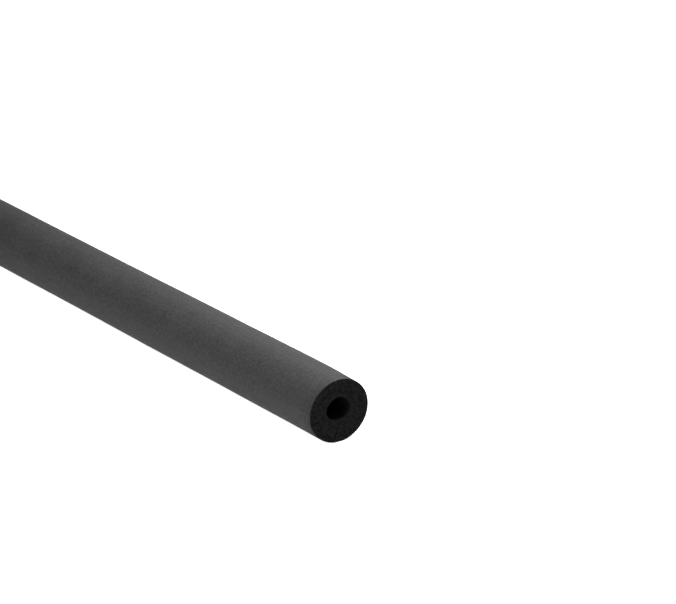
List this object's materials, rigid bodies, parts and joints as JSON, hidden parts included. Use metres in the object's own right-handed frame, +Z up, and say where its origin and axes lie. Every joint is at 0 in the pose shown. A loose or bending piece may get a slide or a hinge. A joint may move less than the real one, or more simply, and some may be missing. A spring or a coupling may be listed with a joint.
{
  "type": "pipe insulation lagging",
  "caption": "Round tube of black closed-cell rubber foam that slides over a heating or water pipe to insulate it, with square-cut ends.",
  "frame": {"origin": "on the axis of the bore, at the middle of the tube's length, 21.5 mm above the floor it lies on", "axes": "+X along the bore, towards the cut end that faces the viewer; +Y level across the tube; +Z up, away from the floor it lies on"},
  "size_m": [1, 0.043, 0.043],
  "materials": {
    "rubber_foam": "satin extruded skin outside, matt fine-celled foam on the cut ends"
  },
  "bodies": {
    "root": {"foam_tube": "rubber_foam"}
  },
  "joints": []
}
